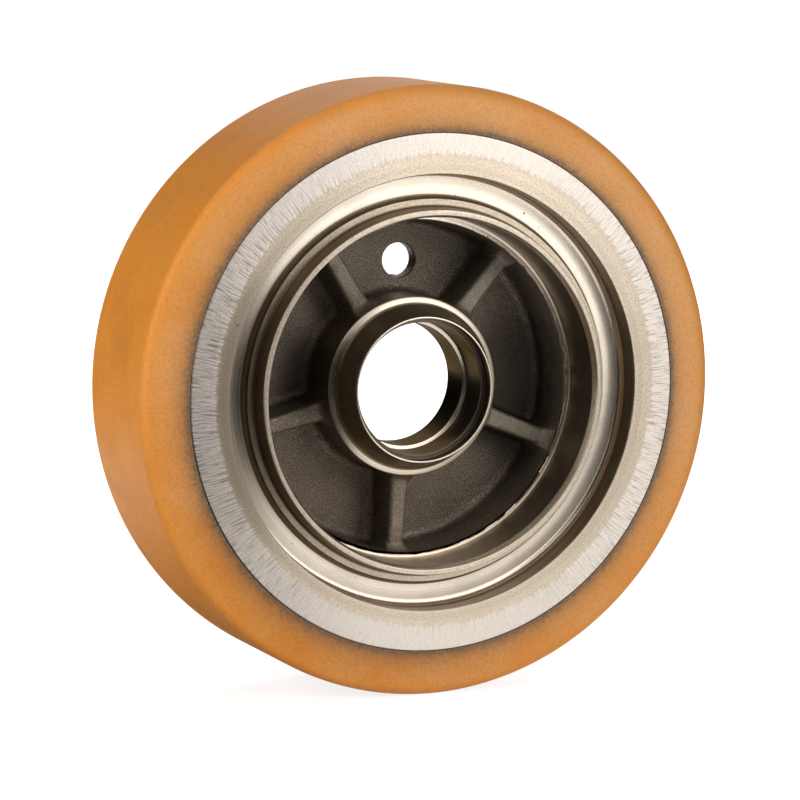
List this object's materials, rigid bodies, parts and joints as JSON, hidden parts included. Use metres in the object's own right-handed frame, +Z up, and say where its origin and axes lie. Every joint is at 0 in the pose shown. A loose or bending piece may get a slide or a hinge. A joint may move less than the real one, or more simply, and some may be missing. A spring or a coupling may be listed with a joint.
{
  "type": "forklift load wheel",
  "caption": "Machined cast-iron wheel with a bonded polyurethane tyre, an open brake drum with a stepped mouth, a ribbed web and a boss with two bearing seats.",
  "frame": {"origin": "wheel centre, on the axle line at mid-width", "axes": "+Y along the axle towards the closed back, -Y out of the open drum side, +Z up"},
  "size_m": [0.3499, 0.1, 0.35],
  "materials": {
    "hub": "turned faces, sand-cast web",
    "tyre": "moulded, satin"
  },
  "bodies": {
    "root": {"hub": "hub", "tyre": "tyre"}
  },
  "joints": []
}
